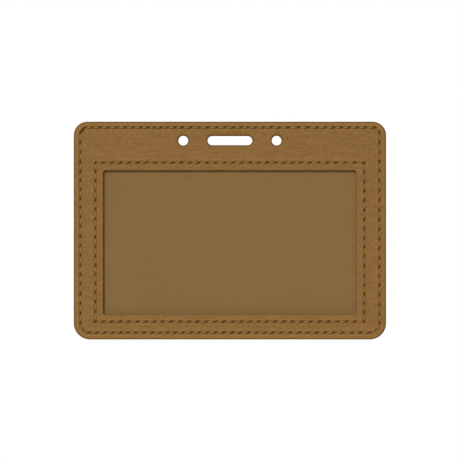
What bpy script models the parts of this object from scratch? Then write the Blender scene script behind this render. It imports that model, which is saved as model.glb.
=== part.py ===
"""A landscape badge holder: a sewn laminate of leatherette, board, lining and clear film.

The holder hangs upright. Its origin is the centre of the strap slot, midway through the thickness.
+X points right as seen from the front, the front faces -Y and +Z is up. Lengths are in metres.
"""

import math

import bmesh
import bpy
from mathutils import Vector

# The insert that the holder is made for, and the space around it
CARD_WIDTH = 0.0889
CARD_HEIGHT = 0.0508
CARD_SIDE_PLAY = 0.0008
WINDOW_LAP_SIDE = 0.00045
WINDOW_LAP_END = 0.0003
WINDOW_CORNER_RADIUS = 0.0011
POCKET_FLOOR_DROP = 0.0004
POCKET_CORNER_RADIUS = 0.0006

# Borders around the window
SIDE_BORDER = 0.0100
BOTTOM_BORDER = 0.00843
TOP_CORNER_RADIUS = 0.0047
BOTTOM_CORNER_RADIUS = 0.0056

# The band above the window, from the top edge down
SLOT_BELOW_TOP = 0.00653
SLOT_LENGTH = 0.0155
SLOT_HEIGHT = 0.0032
HOLE_DIAMETER = 0.0034
HOLE_SPACING = 0.0323
ENTRY_BELOW_SLOT = 0.0029
ENTRY_HEIGHT = 0.0046
ENTRY_CORNER_RADIUS = 0.0014
ENTRY_ABOVE_WINDOW = 0.00104

# Seams, measured to the middle of the thread
OUTER_SEAM_TOP_INSET = 0.0020
OUTER_SEAM_SIDE_INSET = 0.0023
OUTER_SEAM_BOTTOM_INSET = 0.0024
OUTER_SEAM_TOP_CORNER = 0.0017
OUTER_SEAM_BOTTOM_CORNER = 0.0033
WINDOW_SEAM_TOP_MARGIN = 0.0026
WINDOW_SEAM_SIDE_MARGIN = 0.0025
WINDOW_SEAM_BOTTOM_MARGIN = 0.00225
LEVEL_STITCH_PITCH = 0.0030
UPRIGHT_STITCH_PITCH = 0.0033
THREAD_WIDTH = 0.00055
THREAD_HEIGHT = 0.0003
THREAD_PINCH_WIDTH = 0.00024
THREAD_PINCH_HEIGHT = 0.00014
THREAD_PLAY = 0.0001
THREAD_SINK = 0.00005
THREAD_SIDE_PLAY = 0.000225

# Layers, and the line of adhesive between them
FRONT_COVER_THICKNESS = 0.0009
FILM_THICKNESS = 0.00025
FILM_LAP = 0.0020
FILM_EDGE_PLAY = 0.0001
FILM_CORNER_RADIUS = 0.0015
POCKET_DEPTH = 0.0008
LINING_THICKNESS = 0.0003
REAR_BOARD_THICKNESS = 0.0005
REAR_COVER_THICKNESS = 0.0009
GLUE_LINE = 0.0001
EDGE_ROUND = 0.00035

# Cuts run past the faces by this much
OVERRUN = 0.002

# Steps in curves
QUARTER_TURN = math.pi / 2
CORNER_STEPS = 8
SLOT_END_STEPS = 12
HOLE_STEPS = 24
EDGE_ROUND_STEPS = 3
SHARP_ANGLE = math.radians(35)
SQUARE_CORNER_STEPS = 0
OUTER_SEAM_TOP_STEPS = 1
OUTER_SEAM_BOTTOM_STEPS = 2

# Where a stitch reaches its full width, and how much narrower its crest is than its base
STITCH_SHOULDER_SHARES = (0.3, 0.7)
PLAIN_STITCH_SHARES = (0.5,)
CREST_WIDTH_SHARE = 0.55

# Colours, roughness and metallic value of each material
LEATHERETTE = ((0.258, 0.136, 0.042, 1.0), 0.55, 0.0)
THREAD = ((0.300, 0.165, 0.060, 1.0), 0.60, 0.0)
LINING = ((0.235, 0.138, 0.053, 1.0), 0.80, 0.0)
BOARD = ((0.180, 0.110, 0.060, 1.0), 0.90, 0.0)
CLEAR_FILM = ((0.850, 0.860, 0.850, 0.25), 0.15, 0.0)


# Places worked out from the sizes above

SLOT_BOTTOM = -SLOT_HEIGHT / 2
HOLDER_TOP = SLOT_BELOW_TOP
ENTRY_TOP = SLOT_BOTTOM - ENTRY_BELOW_SLOT
ENTRY_BOTTOM = ENTRY_TOP - ENTRY_HEIGHT
WINDOW_TOP = ENTRY_BOTTOM - ENTRY_ABOVE_WINDOW
WINDOW_HALF_WIDTH = CARD_WIDTH / 2 - WINDOW_LAP_SIDE
WINDOW_BOTTOM = WINDOW_TOP - (CARD_HEIGHT - 2 * WINDOW_LAP_END)
HOLDER_HALF_WIDTH = WINDOW_HALF_WIDTH + SIDE_BORDER
HOLDER_BOTTOM = WINDOW_BOTTOM - BOTTOM_BORDER
POCKET_HALF_WIDTH = CARD_WIDTH / 2 + CARD_SIDE_PLAY
POCKET_BOTTOM = WINDOW_BOTTOM - POCKET_FLOOR_DROP

WINDOW_SEAM_HALF_WIDTH = WINDOW_HALF_WIDTH + WINDOW_SEAM_SIDE_MARGIN
WINDOW_SEAM_TOP = WINDOW_TOP + WINDOW_SEAM_TOP_MARGIN
WINDOW_SEAM_BOTTOM = WINDOW_BOTTOM - WINDOW_SEAM_BOTTOM_MARGIN
FILM_HALF_WIDTH = WINDOW_SEAM_HALF_WIDTH + FILM_LAP
FILM_TOP = WINDOW_SEAM_TOP + FILM_LAP
FILM_BOTTOM = WINDOW_SEAM_BOTTOM - FILM_LAP

CHANNEL_WIDTH = THREAD_WIDTH + 2 * THREAD_SIDE_PLAY
CHANNEL_DEPTH = THREAD_SINK + THREAD_HEIGHT + THREAD_PLAY
FRONT_BOARD_THICKNESS = FILM_THICKNESS + THREAD_PLAY + THREAD_HEIGHT

LAYER_THICKNESSES = {
    "front_cover": FRONT_COVER_THICKNESS,
    "front_board": FRONT_BOARD_THICKNESS,
    "pocket_frame": POCKET_DEPTH,
    "rear_lining": LINING_THICKNESS,
    "rear_board": REAR_BOARD_THICKNESS,
    "rear_cover": REAR_COVER_THICKNESS,
}
HOLDER_THICKNESS = sum(LAYER_THICKNESSES.values()) + GLUE_LINE * (len(LAYER_THICKNESSES) - 1)
FRONT_FACE = -HOLDER_THICKNESS / 2
REAR_FACE = HOLDER_THICKNESS / 2


def layer_fronts():
    """Return the Y of each layer's front face, by the layer's name."""
    fronts = {}
    front = FRONT_FACE
    for name, thickness in LAYER_THICKNESSES.items():
        fronts[name] = front
        front += thickness + GLUE_LINE
    return fronts


LAYER_FRONTS = layer_fronts()
FILM_FRONT = LAYER_FRONTS["front_board"]


def rounded_outline(left, right, bottom, top, radii, steps):
    """Return a rounded rectangle's points, anticlockwise, as (x, z).

    radii and steps each hold a value for the two top corners and one for the two bottom corners.
    """
    top_radius, bottom_radius = radii
    top_steps, bottom_steps = steps
    corners = (
        (right - top_radius, top - top_radius, top_radius, top_steps),
        (left + top_radius, top - top_radius, top_radius, top_steps),
        (left + bottom_radius, bottom + bottom_radius, bottom_radius, bottom_steps),
        (right - bottom_radius, bottom + bottom_radius, bottom_radius, bottom_steps),
    )
    points = []
    for turn, (x, z, radius, count) in enumerate(corners):
        for step in range(count + 1):
            angle = QUARTER_TURN * (turn + step / max(count, 1))
            points.append(Vector((x + radius * math.cos(angle), z + radius * math.sin(angle))))
    return points


def slot_outline(length, height):
    """Return the points of a slot with round ends, centred on the origin."""
    radius = height / 2
    reach = length / 2 - radius
    points = []
    for side in (1, -1):
        for step in range(SLOT_END_STEPS + 1):
            angle = side * QUARTER_TURN * (2 * step / SLOT_END_STEPS - 1)
            points.append(Vector((side * (reach + radius * math.cos(angle)), radius * math.sin(angle))))
    return points


def hole_outline(centre_x, diameter):
    """Return the points of a round hole whose centre is on the slot's line."""
    points = []
    for step in range(HOLE_STEPS):
        angle = 4 * QUARTER_TURN * step / HOLE_STEPS
        points.append(Vector((centre_x + diameter / 2 * math.cos(angle), diameter / 2 * math.sin(angle))))
    return points


def holder_outline():
    """Return the outline that every bonded layer is cut to."""
    radii = (TOP_CORNER_RADIUS, BOTTOM_CORNER_RADIUS)
    steps = (CORNER_STEPS, CORNER_STEPS)
    return rounded_outline(-HOLDER_HALF_WIDTH, HOLDER_HALF_WIDTH, HOLDER_BOTTOM, HOLDER_TOP, radii, steps)


def window_outline():
    """Return the outline of the window in the front cover."""
    radii = (WINDOW_CORNER_RADIUS, WINDOW_CORNER_RADIUS)
    steps = (CORNER_STEPS, CORNER_STEPS)
    return rounded_outline(-WINDOW_HALF_WIDTH, WINDOW_HALF_WIDTH, WINDOW_BOTTOM, WINDOW_TOP, radii, steps)


def film_outline(play):
    """Return the film's outline, or that of the opening around it when play is above zero."""
    radius = FILM_CORNER_RADIUS + play
    half_width = FILM_HALF_WIDTH + play
    return rounded_outline(
        -half_width,
        half_width,
        FILM_BOTTOM - play,
        FILM_TOP + play,
        (radius, radius),
        (CORNER_STEPS, CORNER_STEPS),
    )


def pocket_outline():
    """Return the outline of the card's space, from the top of the entry down to the pocket's floor."""
    radii = (POCKET_CORNER_RADIUS, POCKET_CORNER_RADIUS)
    steps = (CORNER_STEPS, CORNER_STEPS)
    return rounded_outline(-POCKET_HALF_WIDTH, POCKET_HALF_WIDTH, POCKET_BOTTOM, ENTRY_TOP, radii, steps)


def entry_outline():
    """Return the outline of the slot in the back that the card goes in through."""
    radii = (ENTRY_CORNER_RADIUS, ENTRY_CORNER_RADIUS)
    steps = (CORNER_STEPS, CORNER_STEPS)
    return rounded_outline(-POCKET_HALF_WIDTH, POCKET_HALF_WIDTH, ENTRY_BOTTOM, ENTRY_TOP, radii, steps)


def outer_seam_path():
    """Return the corner points of the seam around the rim."""
    half_width = HOLDER_HALF_WIDTH - OUTER_SEAM_SIDE_INSET
    return rounded_outline(
        -half_width,
        half_width,
        HOLDER_BOTTOM + OUTER_SEAM_BOTTOM_INSET,
        HOLDER_TOP - OUTER_SEAM_TOP_INSET,
        (OUTER_SEAM_TOP_CORNER, OUTER_SEAM_BOTTOM_CORNER),
        (OUTER_SEAM_TOP_STEPS, OUTER_SEAM_BOTTOM_STEPS),
    )


def window_seam_path():
    """Return the corner points of the seam around the window, whose corners are square."""
    return rounded_outline(
        -WINDOW_SEAM_HALF_WIDTH,
        WINDOW_SEAM_HALF_WIDTH,
        WINDOW_SEAM_BOTTOM,
        WINDOW_SEAM_TOP,
        (0, 0),
        (SQUARE_CORNER_STEPS, SQUARE_CORNER_STEPS),
    )


def offset_outline(points, distance):
    """Return a closed anticlockwise outline moved outwards by distance, with mitred corners."""
    moved = []
    for index, point in enumerate(points):
        before = (point - points[index - 1]).normalized()
        after = (points[(index + 1) % len(points)] - point).normalized()
        normal_before = Vector((before.y, -before.x))
        normal_after = Vector((after.y, -after.x))
        mitre = (normal_before + normal_after) / (1 + normal_before.dot(normal_after))
        moved.append(point + mitre * distance)
    return moved


def needle_holes(path):
    """Return the points where the needle went through, along a seam's closed path."""
    holes = []
    for index, start in enumerate(path):
        end = path[(index + 1) % len(path)]
        run = end - start
        level = abs(run.x) > abs(run.y)
        pitch = LEVEL_STITCH_PITCH if level else UPRIGHT_STITCH_PITCH
        count = max(round(run.length / pitch), 1)
        for step in range(count):
            holes.append(start + run * (step / count))
    return holes


def new_material(name, finish):
    """Return a Principled material with a finish's colour, roughness and metallic value."""
    colour, roughness, metallic = finish
    material = bpy.data.materials.new(name)
    material.use_nodes = True
    shader = material.node_tree.nodes["Principled BSDF"]
    shader.inputs["Base Color"].default_value = colour
    shader.inputs["Alpha"].default_value = colour[3]
    shader.inputs["Roughness"].default_value = roughness
    shader.inputs["Metallic"].default_value = metallic
    return material


def new_object(name, shape, parent, front):
    """Return an object holding the bmesh shape, under the parent, with its front at Y = front."""
    bmesh.ops.recalc_face_normals(shape, faces=shape.faces)
    mesh = bpy.data.meshes.new(name)
    shape.to_mesh(mesh)
    shape.free()
    piece = bpy.data.objects.new(name, mesh)
    piece.parent = parent
    piece.location = (0, front, 0)
    bpy.context.scene.collection.objects.link(piece)
    return piece


def prism(outline, thickness):
    """Return a bmesh of an outline extruded from Y = 0 to Y = thickness."""
    shape = bmesh.new()
    face = shape.faces.new([shape.verts.new((point.x, 0, point.y)) for point in outline])
    extruded = bmesh.ops.extrude_face_region(shape, geom=[face], use_keep_orig=True)
    moved = [item for item in extruded["geom"] if isinstance(item, bmesh.types.BMVert)]
    bmesh.ops.translate(shape, verts=moved, vec=(0, thickness, 0))
    return shape


def round_rim(shape, thickness, on_front):
    """Round a prism's rim on its front face, or on its back face."""
    middle = thickness / 2
    rim = [edge for edge in shape.edges if all((vert.co.y < middle) == on_front for vert in edge.verts)]
    bmesh.ops.bevel(
        shape,
        geom=rim,
        offset=EDGE_ROUND,
        segments=EDGE_ROUND_STEPS,
        profile=0.5,
        affect="EDGES",
        material=-1,
        clamp_overlap=True,
    )


def layer(name, finish, parent):
    """Return one bonded layer with the holder's outline; a cover's outer rim is rounded."""
    thickness = LAYER_THICKNESSES[name]
    shape = prism(holder_outline(), thickness)
    if name in ("front_cover", "rear_cover"):
        round_rim(shape, thickness, name == "front_cover")
    piece = new_object(name, shape, parent, LAYER_FRONTS[name])
    piece.data.materials.append(new_material(name, finish))
    return piece


def window_film(parent):
    """Return the clear film, whose edge lies in the front board's opening."""
    piece = new_object("window_film", prism(film_outline(0), FILM_THICKNESS), parent, FILM_FRONT)
    piece.data.materials.append(new_material("window_film", CLEAR_FILM))
    return piece


def hide_tool(tool):
    """Make an object a cutting tool, which is no part of the holder."""
    tool.hide_render = True
    tool.display_type = "WIRE"
    return tool


def punch(name, outline, parent):
    """Return a cutting tool that goes through every layer."""
    shape = prism(outline, HOLDER_THICKNESS + 2 * OVERRUN)
    return hide_tool(new_object(name, shape, parent, FRONT_FACE - OVERRUN))


def channel_tool(name, path, front, parent):
    """Return a ring-shaped cutting tool that sinks a stitch channel along a path."""
    shape = bmesh.new()
    rings = []
    for offset in (CHANNEL_WIDTH / 2, -CHANNEL_WIDTH / 2):
        verts = [shape.verts.new((point.x, 0, point.y)) for point in offset_outline(path, offset)]
        rings.append([shape.edges.new((vert, verts[index - 1])) for index, vert in enumerate(verts)])
    bridged = bmesh.ops.bridge_loops(shape, edges=rings[0] + rings[1])
    extruded = bmesh.ops.extrude_face_region(shape, geom=bridged["faces"], use_keep_orig=True)
    moved = [item for item in extruded["geom"] if isinstance(item, bmesh.types.BMVert)]
    bmesh.ops.translate(shape, verts=moved, vec=(0, CHANNEL_DEPTH + OVERRUN, 0))
    return hide_tool(new_object(name, shape, parent, front))


def cut(piece, tools):
    """Cut each tool's shape out of a piece."""
    for tool in tools:
        modifier = piece.modifiers.new(tool.name, "BOOLEAN")
        modifier.operation = "DIFFERENCE"
        modifier.solver = "EXACT"
        modifier.object = tool


def stitch_ring(shape, place, direction, width, height, facing):
    """Return one four-cornered section of a thread: its base at Y = 0 and its crest at height."""
    side = Vector((-direction.y, direction.x))
    corners = (
        (-width / 2, 0),
        (width / 2, 0),
        (width / 2 * CREST_WIDTH_SHARE, height),
        (-width / 2 * CREST_WIDTH_SHARE, height),
    )
    ring = []
    for across, rise in corners:
        point = place + side * across
        ring.append(shape.verts.new((point.x, facing * rise, point.y)))
    return ring


def seam_thread(name, path, base, facing, shoulder_shares, parent):
    """Return one unbroken thread around a seam: pinched at each needle hole, full between them.

    facing is -1 where the crest faces the front and 1 where it faces the back.
    """
    holes = needle_holes(path)
    count = len(holes)
    directions = [(holes[(index + 1) % count] - hole).normalized() for index, hole in enumerate(holes)]
    shape = bmesh.new()
    rings = []
    for index, hole in enumerate(holes):
        turned = (directions[index - 1] + directions[index]).normalized()
        rings.append(stitch_ring(shape, hole, turned, THREAD_PINCH_WIDTH, THREAD_PINCH_HEIGHT, facing))
        stitch = holes[(index + 1) % count] - hole
        for share in shoulder_shares:
            place = hole + stitch * share
            rings.append(stitch_ring(shape, place, directions[index], THREAD_WIDTH, THREAD_HEIGHT, facing))
    for index, ring in enumerate(rings):
        last = rings[index - 1]
        for corner, vert in enumerate(ring):
            shape.faces.new((vert, ring[corner - 1], last[corner - 1], last[corner]))
    piece = new_object(name, shape, parent, base)
    piece.data.materials.append(new_material(name, THREAD))
    return piece


def shade(piece):
    """Shade a piece smooth over its rounded stretches and sharp at its cut edges."""
    piece.data.shade_smooth()
    piece.data.set_sharp_from_angle(angle=SHARP_ANGLE)


def clear_scene():
    """Remove every object that the scene holds."""
    for item in list(bpy.data.objects):
        bpy.data.objects.remove(item, do_unlink=True)


def build_covers(root, punches, window, entry):
    """Build the front and rear covers, with their openings and stitch channels."""
    front_cover = layer("front_cover", LEATHERETTE, root)
    rear_cover = layer("rear_cover", LEATHERETTE, root)
    front_start = FRONT_FACE - OVERRUN
    rear_start = REAR_FACE - CHANNEL_DEPTH
    outer_front = channel_tool("outer_front_channel_tool", outer_seam_path(), front_start, root)
    outer_rear = channel_tool("outer_rear_channel_tool", outer_seam_path(), rear_start, root)
    window_front = channel_tool("window_channel_tool", window_seam_path(), front_start, root)
    cut(front_cover, [*punches, window, outer_front, window_front])
    cut(rear_cover, [*punches, entry, outer_rear])
    return [front_cover, rear_cover]


def build_inner_layers(root, punches, entry):
    """Build the boards, the lining and the film between the covers."""
    front_board = layer("front_board", BOARD, root)
    pocket_frame = layer("pocket_frame", BOARD, root)
    rear_lining = layer("rear_lining", LINING, root)
    rear_board = layer("rear_board", BOARD, root)
    cut(front_board, [*punches, punch("film_opening_tool", film_outline(FILM_EDGE_PLAY), root)])
    cut(pocket_frame, [*punches, punch("pocket_tool", pocket_outline(), root)])
    cut(rear_lining, [*punches, entry])
    cut(rear_board, [*punches, entry])
    return [front_board, pocket_frame, rear_lining, rear_board, window_film(root)]


def build_threads(root):
    """Build the needle thread and the bobbin thread of each seam."""
    front_base = FRONT_FACE + THREAD_SINK + THREAD_HEIGHT
    rear_base = REAR_FACE - THREAD_SINK - THREAD_HEIGHT
    behind_film = FILM_FRONT + FILM_THICKNESS + THREAD_PLAY
    full = STITCH_SHOULDER_SHARES
    plain = PLAIN_STITCH_SHARES
    outer = outer_seam_path()
    window = window_seam_path()
    return [
        seam_thread("outer_seam_front_thread", outer, front_base, -1, full, root),
        seam_thread("outer_seam_rear_thread", outer, rear_base, 1, full, root),
        seam_thread("window_seam_front_thread", window, front_base, -1, full, root),
        seam_thread("window_seam_rear_thread", window, behind_film, 1, plain, root),
    ]


def main():
    """Build the badge holder."""
    clear_scene()
    root = bpy.data.objects.new("badge_holder", None)
    bpy.context.scene.collection.objects.link(root)
    punches = [
        punch("strap_slot_tool", slot_outline(SLOT_LENGTH, SLOT_HEIGHT), root),
        punch("left_hole_tool", hole_outline(-HOLE_SPACING / 2, HOLE_DIAMETER), root),
        punch("right_hole_tool", hole_outline(HOLE_SPACING / 2, HOLE_DIAMETER), root),
    ]
    window = punch("window_tool", window_outline(), root)
    entry = punch("card_entry_tool", entry_outline(), root)
    pieces = build_covers(root, punches, window, entry)
    pieces += build_inner_layers(root, punches, entry)
    pieces += build_threads(root)
    for piece in pieces:
        shade(piece)


if __name__ == "__main__":
    main()
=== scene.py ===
"""The looks of a landscape leatherette badge holder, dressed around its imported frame.

The holder hangs upright: +X points right as seen from the front, the front faces -Y and +Z is up.
Lengths are in metres. An outline is a rounded rectangle seen from the front, and a depth is measured
from a cover's outer face into the holder.
"""

from __future__ import annotations

import logging
import math
import random
from dataclasses import astuple, dataclass, field
from enum import Enum

import bmesh
import bpy
from mathutils import Matrix, Vector
from mathutils.kdtree import KDTree

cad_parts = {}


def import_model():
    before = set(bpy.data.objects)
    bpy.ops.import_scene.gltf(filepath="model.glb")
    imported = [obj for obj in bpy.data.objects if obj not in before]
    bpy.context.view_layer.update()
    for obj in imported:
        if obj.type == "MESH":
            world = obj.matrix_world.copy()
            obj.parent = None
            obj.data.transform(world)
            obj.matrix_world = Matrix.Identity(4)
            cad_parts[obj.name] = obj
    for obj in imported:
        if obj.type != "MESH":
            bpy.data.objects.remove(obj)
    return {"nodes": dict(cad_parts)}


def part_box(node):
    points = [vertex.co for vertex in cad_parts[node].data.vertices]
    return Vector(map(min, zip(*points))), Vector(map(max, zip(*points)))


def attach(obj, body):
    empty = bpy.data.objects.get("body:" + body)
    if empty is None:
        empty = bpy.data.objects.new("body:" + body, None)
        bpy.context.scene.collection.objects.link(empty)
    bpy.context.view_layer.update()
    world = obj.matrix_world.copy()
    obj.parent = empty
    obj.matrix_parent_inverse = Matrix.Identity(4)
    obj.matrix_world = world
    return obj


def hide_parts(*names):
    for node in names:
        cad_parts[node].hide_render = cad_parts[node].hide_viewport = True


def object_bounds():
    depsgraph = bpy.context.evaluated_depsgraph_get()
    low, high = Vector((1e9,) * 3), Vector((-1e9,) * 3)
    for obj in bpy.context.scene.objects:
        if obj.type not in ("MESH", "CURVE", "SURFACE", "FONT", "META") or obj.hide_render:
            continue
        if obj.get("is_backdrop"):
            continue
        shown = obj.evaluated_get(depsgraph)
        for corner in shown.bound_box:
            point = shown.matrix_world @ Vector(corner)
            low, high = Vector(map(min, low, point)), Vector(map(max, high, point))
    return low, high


log = logging.getLogger("badge_holder")

MM = 0.001
BODY = "root"
QUARTER_TURN = math.pi / 2
SMALLEST_RADIUS = 0.12 * MM
SAME_PLACE = 0.001 * MM
SHARP_ANGLE = math.radians(42)
NOISE_SHARES = (0.3, 0.7)  # nearly all of a noise pattern lies between these
WAVE_SCALE = math.tau / 20  # the scale at which a band pattern repeats every metre
SLIT_EDGE = 1.25  # where a slit's soft edge ends, in half widths from its middle
SLIT_SOFTNESS = 0.9  # over how many half widths it fades

Material = bpy.types.Material
Node = bpy.types.Node
Piece = bpy.types.Object
Shape = bmesh.types.BMesh
Socket = bpy.types.NodeSocket
Tree = bpy.types.NodeTree
Vert = bmesh.types.BMVert


def smooth_step(value: float) -> float:
    """Ease a share from 0 to 1, holding it within them."""
    share = min(max(value, 0.0), 1.0)
    return share * share * (3 - 2 * share)


def linear(colour: str) -> tuple[float, float, float, float]:
    """Turn an sRGB hex colour to linear light.

    Args:
        colour: Six hex digits, with or without a leading hash.

    Returns:
        The red, green and blue shares in linear light, and an alpha of 1.
    """
    digits = colour.lstrip("#")
    shares = [int(digits[place : place + 2], 16) / 255 for place in (0, 2, 4)]
    red, green, blue = (
        share / 12.92 if share <= 0.04045 else ((share + 0.055) / 1.055) ** 2.4 for share in shares
    )
    return (red, green, blue, 1.0)


def fill(node: Node, inputs: dict[str | int, object]) -> None:
    """Give a node's inputs what they take.

    Args:
        node: The node.
        inputs: What each input gets, by its name or number: an output to link, or a value.
    """
    for name, value in inputs.items():
        if isinstance(value, Socket):
            node.id_data.links.new(value, node.inputs[name])
        else:
            node.inputs[name].default_value = value


def add_node(
    tree: Tree,
    kind: str,
    inputs: dict[str | int, object] | None = None,
    **settings: object,
) -> bpy.types.NodeOutputs:
    """Add a node with its settings and links.

    Args:
        tree: The node tree that takes the node.
        kind: The node's type after ShaderNode, such as TexNoise.
        inputs: What each input gets, by its name or number: an output to link, or a value.
        settings: The node's own properties.

    Returns:
        The new node's outputs.
    """
    node = tree.nodes.new(f"ShaderNode{kind}")
    for name, value in settings.items():
        setattr(node, name, value)
    fill(node, inputs or {})
    return node.outputs


def new_finish(name: str) -> tuple[Material, Tree, Node]:
    """Return a new material, its node tree and its Principled shader."""
    material = bpy.data.materials.new(name)
    material.use_nodes = True
    return material, material.node_tree, material.node_tree.nodes["Principled BSDF"]


def finish_surface(
    shader: Node,
    tint: str,
    layers: list[tuple[Socket, str]],
    reliefs: list[tuple[Socket, Bump]],
    levels: dict[str, Socket | float],
) -> None:
    """Tint a surface layer by layer, raise its reliefs and fill the shader's other inputs.

    Args:
        shader: The surface's shader.
        tint: The tint that lies lowest.
        layers: How far each further tint covers what lies under it, and the tint.
        reliefs: The height of each relief, and how far it stands out.
        levels: The shader's other inputs, by name.
    """
    colour = linear(tint)
    for share, cover in layers:
        tones = {0: share, 6: colour, 7: linear(cover)}
        colour = add_node(shader.id_data, "Mix", tones, data_type="RGBA")[2]
    raised = {}
    for height, bump in reliefs:
        raised |= {"Height": height, "Strength": bump.strength, "Distance": bump.depth}
        raised["Normal"] = add_node(shader.id_data, "Bump", raised, invert=bump.sunk)["Normal"]
    fill(shader, {"Base Color": colour, "Normal": raised["Normal"], **levels})


def see_through(shader: Node, share: Socket, tint: str) -> None:
    """Let light pass straight through a surface.

    Args:
        shader: The surface's shader.
        share: How much of the light passes.
        tint: The colour that the passing light takes.
    """
    tree = shader.id_data
    clear = add_node(tree, "BsdfTransparent", {"Color": linear(tint)})["BSDF"]
    mixed = add_node(tree, "MixShader", {0: share, 1: shader.outputs["BSDF"], 2: clear})
    fill(tree.nodes["Material Output"], {"Surface": mixed["Shader"]})


@dataclass(frozen=True)
class Bump:
    """How strongly and how far a pattern stands out from a surface, or is sunk into it."""

    strength: float
    depth: float
    sunk: bool = False


class Plane(Enum):
    """The way that a stitch row runs, with the turn that the machine gives its stitches."""

    LEVEL = math.radians(10.0)
    UPRIGHT = math.radians(-8.0)


class Facing(Enum):
    """The side of the holder that a surface looks to."""

    FRONT = -1
    REAR = 1


@dataclass(frozen=True)
class Stations:
    """How many steps a ring has along its level sides, its upright sides and each corner."""

    level: int
    upright: int
    corner: int


PUNCH_STATIONS = Stations(24, 1, 10)


@dataclass(frozen=True)
class Outline:
    """A rounded rectangle seen from the front."""

    left: float
    right: float
    bottom: float
    top: float
    top_radius: float
    bottom_radius: float

    @classmethod
    def centred(cls, half_width: float, bottom: float, top: float, radius: float) -> Outline:
        """Return an outline centred on X = 0 with four like corners."""
        return cls(-half_width, half_width, bottom, top, radius, radius)

    def offset(self, distance: float) -> Outline:
        """Return this outline moved outwards by a distance."""
        edges = (self.left - distance, self.right + distance, self.bottom - distance, self.top + distance)
        radii = (self.top_radius, self.bottom_radius)
        return Outline(*edges, *(max(radius + distance, SMALLEST_RADIUS) for radius in radii))

    def toward(self, other: Outline, share: float) -> Outline:
        """Return the outline that lies a share of the way to another."""
        pairs = zip(astuple(self), astuple(other), strict=True)
        return Outline(*(mine + (theirs - mine) * share for mine, theirs in pairs))

    def corners(self) -> tuple[tuple[float, float, float], ...]:
        """Return each corner's centre and radius, anticlockwise from the top right."""
        high = self.top - self.top_radius
        low = self.bottom + self.bottom_radius
        return (
            (self.right - self.top_radius, high, self.top_radius),
            (self.left + self.top_radius, high, self.top_radius),
            (self.left + self.bottom_radius, low, self.bottom_radius),
            (self.right - self.bottom_radius, low, self.bottom_radius),
        )

    def arc(self, turn: int, steps: int) -> list[Vector]:
        """Return the points of one corner.

        Args:
            turn: The corner's number, anticlockwise from the top right.
            steps: How many steps the quarter turn has; with none, it is the arc's middle alone.

        Returns:
            The points, with Y at zero.
        """
        x, z, radius = self.corners()[turn]
        shares = [step / steps for step in range(steps + 1)] if steps else [0.5]
        angles = [QUARTER_TURN * (turn + share) for share in shares]
        return [Vector((x + radius * math.cos(angle), 0, z + radius * math.sin(angle))) for angle in angles]

    def points(self, stations: Stations) -> list[Vector]:
        """Return the ring's points, anticlockwise, with Y at zero."""
        arcs = [self.arc(turn, stations.corner) for turn in range(4)]
        ring = []
        for turn, arc in enumerate(arcs):
            following = arcs[(turn + 1) % 4][0]
            count = stations.upright if turn % 2 else stations.level
            ring += arc
            ring += [arc[-1].lerp(following, step / count) for step in range(1, count)]
        return ring

    def distance(self, x: float, z: float) -> float:
        """Return how far a point lies outside the outline; inside it, the distance is negative."""
        across = x - (self.left + self.right) / 2
        up = z - (self.bottom + self.top) / 2
        radius = self.top_radius if up > 0 else self.bottom_radius
        across = abs(across) - (self.right - self.left) / 2 + radius
        up = abs(up) - (self.top - self.bottom) / 2 + radius
        return math.hypot(max(across, 0), max(up, 0)) + min(max(across, up), 0) - radius


class RingSkin:
    """A skin drawn out ring by ring: each ring is extruded from the last one and moved into place."""

    def __init__(self, stations: Stations) -> None:
        """Start with no ring.

        Args:
            stations: The steps that every ring of the skin has.
        """
        self.stations = stations
        self.shape = bmesh.new()
        self.first: list[Vert] = []
        self.last: list[Vert] = []

    def edges(self, ring: list[Vert]) -> list[bmesh.types.BMEdge]:
        """Return the edges that join a ring's vertices."""
        return [self.shape.edges.get((ring[index - 1], vert)) for index, vert in enumerate(ring)]

    def add(self, outline: Outline, y: float) -> None:
        """Draw the skin on to an outline.

        Args:
            outline: Where the new ring lies, seen from the front.
            y: The new ring's place between front and back.
        """
        places = [Vector((point.x, y, point.z)) for point in outline.points(self.stations)]
        if not self.last:
            self.last = [self.shape.verts.new(place) for place in places]
            for index, vert in enumerate(self.last):
                self.shape.edges.new((self.last[index - 1], vert))
            self.first = self.last
            return
        order = {vert: index for index, vert in enumerate(self.last)}
        grown = bmesh.ops.extrude_edge_only(self.shape, edges=self.edges(self.last))["geom"]
        ring = [None] * len(places)
        for vert in (item for item in grown if isinstance(item, Vert)):
            origins = (edge.other_vert(vert) for edge in vert.link_edges)
            index = next(order[origin] for origin in origins if origin in order)
            vert.co = places[index]
            ring[index] = vert
        self.last = ring

    def close(self) -> Shape:
        """Join the last ring to the first, which lies in the same place, and return the shape."""
        bmesh.ops.remove_doubles(self.shape, verts=self.first + self.last, dist=SAME_PLACE)
        bmesh.ops.recalc_face_normals(self.shape, faces=self.shape.faces)
        return self.shape

    def cap(self) -> Shape:
        """Fill the first and the last ring with a face each and return the shape."""
        for ring in (self.first, self.last):
            bmesh.ops.contextual_create(self.shape, geom=self.edges(ring))
        bmesh.ops.remove_doubles(self.shape, verts=self.shape.verts, dist=SAME_PLACE)
        bmesh.ops.recalc_face_normals(self.shape, faces=self.shape.faces)
        return self.shape


def add_object(name: str, data: bpy.types.ID) -> Piece:
    """Return a new object that holds some data, linked to the scene."""
    item = bpy.data.objects.new(name, data)
    bpy.context.scene.collection.objects.link(item)
    return item


def new_piece(name: str, shape: Shape) -> Piece:
    """Make an object of a shape and link it to the scene.

    Args:
        name: The object's name.
        shape: The bmesh, which is freed.

    Returns:
        The object, at the origin.
    """
    mesh = bpy.data.meshes.new(name)
    shape.to_mesh(mesh)
    shape.free()
    return add_object(name, mesh)


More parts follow.
